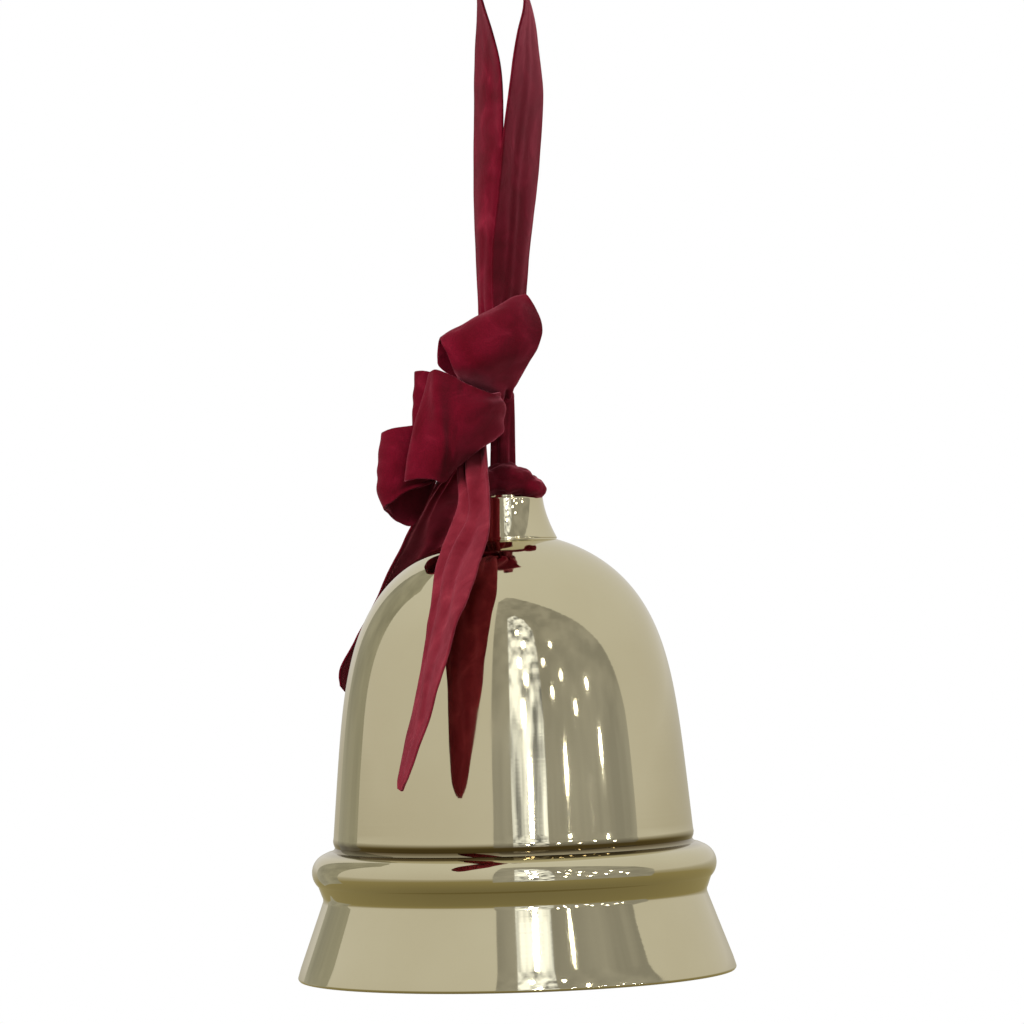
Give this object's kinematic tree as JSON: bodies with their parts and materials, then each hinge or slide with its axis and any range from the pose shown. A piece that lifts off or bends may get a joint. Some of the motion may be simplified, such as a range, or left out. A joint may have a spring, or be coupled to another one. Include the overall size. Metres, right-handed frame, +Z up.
{
  "type": "christmas bell ornament",
  "caption": "Polished spun-metal bell with a moulded bead and flared lip, a neck collar and an inner clapper, hung from a velvet ribbon loop with a bow and trailing tails.",
  "frame": {"origin": "the inside of the ribbon loop's top, where it sits on the hook, on the bell's own axis", "axes": "+Z up towards the hook along the bell's axis, -Y towards the front of the bow, +X to the right seen from the front"},
  "size_m": [0.16, 0.1764, 0.389],
  "materials": {
    "shell": "mirror-polished pale champagne gold plate",
    "fittings": "plain turned brass",
    "clapper": "polished brass with small strike marks",
    "steel": "zinc-plated steel",
    "velvet": "wine-red cut-pile velvet ribbon"
  },
  "bodies": {
    "ribbon": {"hanging_loop": "velvet", "bow_knot": "velvet", "bow_loop_upper": "velvet", "bow_loop_front": "velvet", "bow_loop_left": "velvet", "bow_loop_back": "velvet", "tail_front": "velvet", "tail_rear": "velvet"},
    "stem": {"ribbon_stem": "velvet"},
    "knot": {"neck_knot": "velvet"},
    "bell": {"bell_skirt": "shell", "bell_waist": "shell", "bell_dome": "shell", "neck_collar": "shell", "crown_washer": "shell", "crown_eye": "fittings", "inner_washer": "steel", "stem_nut": "steel", "clapper_eye": "fittings"},
    "link": {"clapper_link": "steel"},
    "clapper": {"clapper_rod": "fittings", "clapper_ball": "clapper", "clapper_tip": "fittings"}
  },
  "joints": [
    {"name": "bell_sway", "type": "hinge", "parent": "ribbon", "child": "stem", "pos_m": [0, 0, -0.1817], "axis": [0, 1, 0], "range_deg": [-3, 3]},
    {"name": "bell_swing", "type": "hinge", "parent": "stem", "child": "knot", "pos_m": [0, 0, -0.2015], "axis": [1, 0, 0], "range_deg": [-4, 4]},
    {"name": "bell_turn", "type": "hinge", "parent": "knot", "child": "bell", "pos_m": [0, 0, -0.213], "axis": [0, 0, 1], "range_deg": [-35, 35]},
    {"name": "clapper_swing", "type": "hinge", "parent": "bell", "child": "link", "pos_m": [0, 0, -0.2464], "axis": [1, 0, 0], "range_deg": [-27, 27]},
    {"name": "clapper_sway", "type": "hinge", "parent": "link", "child": "clapper", "pos_m": [0, 0, -0.25605], "axis": [0, 1, 0], "range_deg": [-12, 12]}
  ]
}
